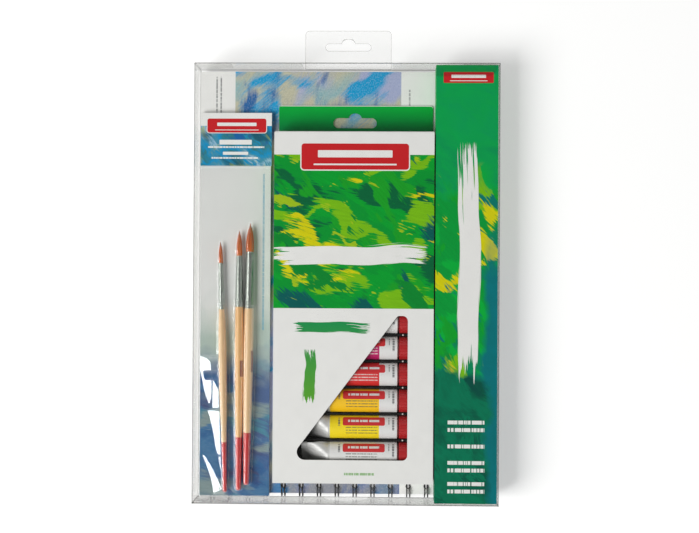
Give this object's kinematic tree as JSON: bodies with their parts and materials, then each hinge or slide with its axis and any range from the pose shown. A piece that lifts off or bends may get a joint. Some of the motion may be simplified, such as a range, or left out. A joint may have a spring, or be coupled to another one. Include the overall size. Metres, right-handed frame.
{
  "type": "paint set",
  "caption": "Clear folding box with hang tab, holding a wire-bound pad and manual, a windowed carton of paint tubes, a pouch of brushes and a printed side sleeve.",
  "frame": {"origin": "middle of the clear box's back panel, on its outer face", "axes": "+Y up the set towards the hang tab, +Z out of the front, +X to the right seen from the front"},
  "size_m": [0.213, 0.335, 0.033],
  "materials": {
    "clear_box": "clear gloss film",
    "clear_bag": "thin clear film, creased",
    "paper": "uncoated",
    "printed_paper": "coated print",
    "staple": "bright wire",
    "grey_board": "plain grey board",
    "printed_cover": "printed card with pastel strokes",
    "black_wire": "nylon-coated wire",
    "printed_sleeve": "printed satin board",
    "printed_carton": "white printed board",
    "black_tray": "formed black sheet",
    "tube_metal": "lacquered and printed",
    "paint": "opaque paste",
    "red_cap": "moulded",
    "printed_card": "printed card",
    "brush_wood": "lacquered, red dipped end",
    "ferrule_metal": "polished and crimped",
    "golden_bristle": "soft golden filament"
  },
  "bodies": {
    "box": {"box_body": "clear_box", "bottom_panel": "clear_box", "bottom_lock_panel": "clear_box", "bottom_flap_left": "clear_box", "bottom_flap_right": "clear_box", "manual_pages": "paper", "manual_cover": "printed_paper", "manual_staples": "staple", "pad_board": "grey_board", "pad_sheets": "paper", "pad_cover": "printed_cover", "pad_wire": "black_wire", "side_sleeve": "printed_sleeve"},
    "box_lid": {"box_lid": "clear_box"},
    "tuck_flap": {"tuck_flap": "clear_box"},
    "dust_flap_left": {"dust_flap_left": "clear_box"},
    "dust_flap_right": {"dust_flap_right": "clear_box"},
    "carton": {"carton_body": "printed_carton", "carton_bottom": "printed_carton", "tube_tray": "black_tray", "paint_fill": "paint", "tube_01": "tube_metal", "tube_02": "tube_metal", "tube_03": "tube_metal", "tube_04": "tube_metal", "tube_05": "tube_metal", "tube_06": "tube_metal", "tube_07": "tube_metal", "tube_08": "tube_metal", "tube_09": "tube_metal", "tube_10": "tube_metal", "tube_11": "tube_metal", "tube_12": "tube_metal"},
    "carton_lid": {"carton_lid": "printed_carton"},
    "cap_01": {"cap_01": "red_cap"},
    "cap_02": {"cap_02": "red_cap"},
    "cap_03": {"cap_03": "red_cap"},
    "cap_04": {"cap_04": "red_cap"},
    "cap_05": {"cap_05": "red_cap"},
    "cap_06": {"cap_06": "red_cap"},
    "cap_07": {"cap_07": "red_cap"},
    "cap_08": {"cap_08": "red_cap"},
    "cap_09": {"cap_09": "red_cap"},
    "cap_10": {"cap_10": "red_cap"},
    "cap_11": {"cap_11": "red_cap"},
    "cap_12": {"cap_12": "red_cap"},
    "brush_pack": {"brush_pouch": "clear_bag", "brush_card": "printed_card", "brush_header": "printed_card", "brush_a_handle": "brush_wood", "brush_a_ferrule": "ferrule_metal", "brush_a_head": "golden_bristle", "brush_b_handle": "brush_wood", "brush_b_ferrule": "ferrule_metal", "brush_b_head": "golden_bristle", "brush_c_handle": "brush_wood", "brush_c_ferrule": "ferrule_metal", "brush_c_head": "golden_bristle"}
  },
  "joints": [
    {"name": "lid_hinge", "type": "hinge", "parent": "box", "child": "box_lid", "pos_m": [0, 0.15335, 0.00015], "axis": [-1, 0, 0], "range_deg": [0, 90]},
    {"name": "tuck_hinge", "type": "hinge", "parent": "box_lid", "child": "tuck_flap", "pos_m": [0, 0.15335, 0.0325], "axis": [-1, 0, 0], "range_deg": [0, 60]},
    {"name": "dust_flap_left_hinge", "type": "hinge", "parent": "box", "child": "dust_flap_left", "pos_m": [-0.1056, 0.153, 0.0165], "axis": [0, 0, 1], "range_deg": [0, 90]},
    {"name": "dust_flap_right_hinge", "type": "hinge", "parent": "box", "child": "dust_flap_right", "pos_m": [0.1056, 0.153, 0.0165], "axis": [0, 0, -1], "range_deg": [0, 90]},
    {"name": "carton_slide", "type": "slide", "parent": "box", "child": "carton", "axis": [0, 1, 0], "range_m": [-0.0025, 0.025]},
    {"name": "carton_lid_hinge", "type": "hinge", "parent": "carton", "child": "carton_lid", "pos_m": [0.00525, 0.10587, 0.02857], "axis": [1, 0, 0], "range_deg": [0, 90]},
    {"name": "cap_01_screw", "type": "hinge", "parent": "carton", "child": "cap_01", "pos_m": [0.0455, 0.08397, 0.0184], "axis": [1, 0, 0], "continuous": true},
    {"name": "cap_02_screw", "type": "hinge", "parent": "carton", "child": "cap_02", "pos_m": [0.0455, 0.06552, 0.0184], "axis": [1, 0, 0], "continuous": true},
    {"name": "cap_03_screw", "type": "hinge", "parent": "carton", "child": "cap_03", "pos_m": [0.0455, 0.04707, 0.0184], "axis": [1, 0, 0], "continuous": true},
    {"name": "cap_04_screw", "type": "hinge", "parent": "carton", "child": "cap_04", "pos_m": [0.0455, 0.02863, 0.0184], "axis": [1, 0, 0], "continuous": true},
    {"name": "cap_05_screw", "type": "hinge", "parent": "carton", "child": "cap_05", "pos_m": [0.0455, 0.01018, 0.0184], "axis": [1, 0, 0], "continuous": true},
    {"name": "cap_06_screw", "type": "hinge", "parent": "carton", "child": "cap_06", "pos_m": [0.0455, -0.00827, 0.0184], "axis": [1, 0, 0], "continuous": true},
    {"name": "cap_07_screw", "type": "hinge", "parent": "carton", "child": "cap_07", "pos_m": [0.0455, -0.02672, 0.0184], "axis": [1, 0, 0], "continuous": true},
    {"name": "cap_08_screw", "type": "hinge", "parent": "carton", "child": "cap_08", "pos_m": [0.0455, -0.04517, 0.0184], "axis": [1, 0, 0], "continuous": true},
    {"name": "cap_09_screw", "type": "hinge", "parent": "carton", "child": "cap_09", "pos_m": [0.0455, -0.06363, 0.0184], "axis": [1, 0, 0], "continuous": true},
    {"name": "cap_10_screw", "type": "hinge", "parent": "carton", "child": "cap_10", "pos_m": [0.0455, -0.08207, 0.0184], "axis": [1, 0, 0], "continuous": true},
    {"name": "cap_11_screw", "type": "hinge", "parent": "carton", "child": "cap_11", "pos_m": [0.0455, -0.10053, 0.0184], "axis": [1, 0, 0], "continuous": true},
    {"name": "cap_12_screw", "type": "hinge", "parent": "carton", "child": "cap_12", "pos_m": [0.0455, -0.11897, 0.0184], "axis": [1, 0, 0], "continuous": true},
    {"name": "brush_pack_slide", "type": "slide", "parent": "box", "child": "brush_pack", "axis": [0, 1, 0], "range_m": [-0.0005, 0.03]}
  ],
  "couplings": [
    {"joint": "tuck_hinge", "follows": "lid_hinge", "ratio": 0.3},
    {"joint": "dust_flap_left_hinge", "follows": "lid_hinge", "ratio": 0.42},
    {"joint": "dust_flap_right_hinge", "follows": "lid_hinge", "ratio": 0.42}
  ]
}
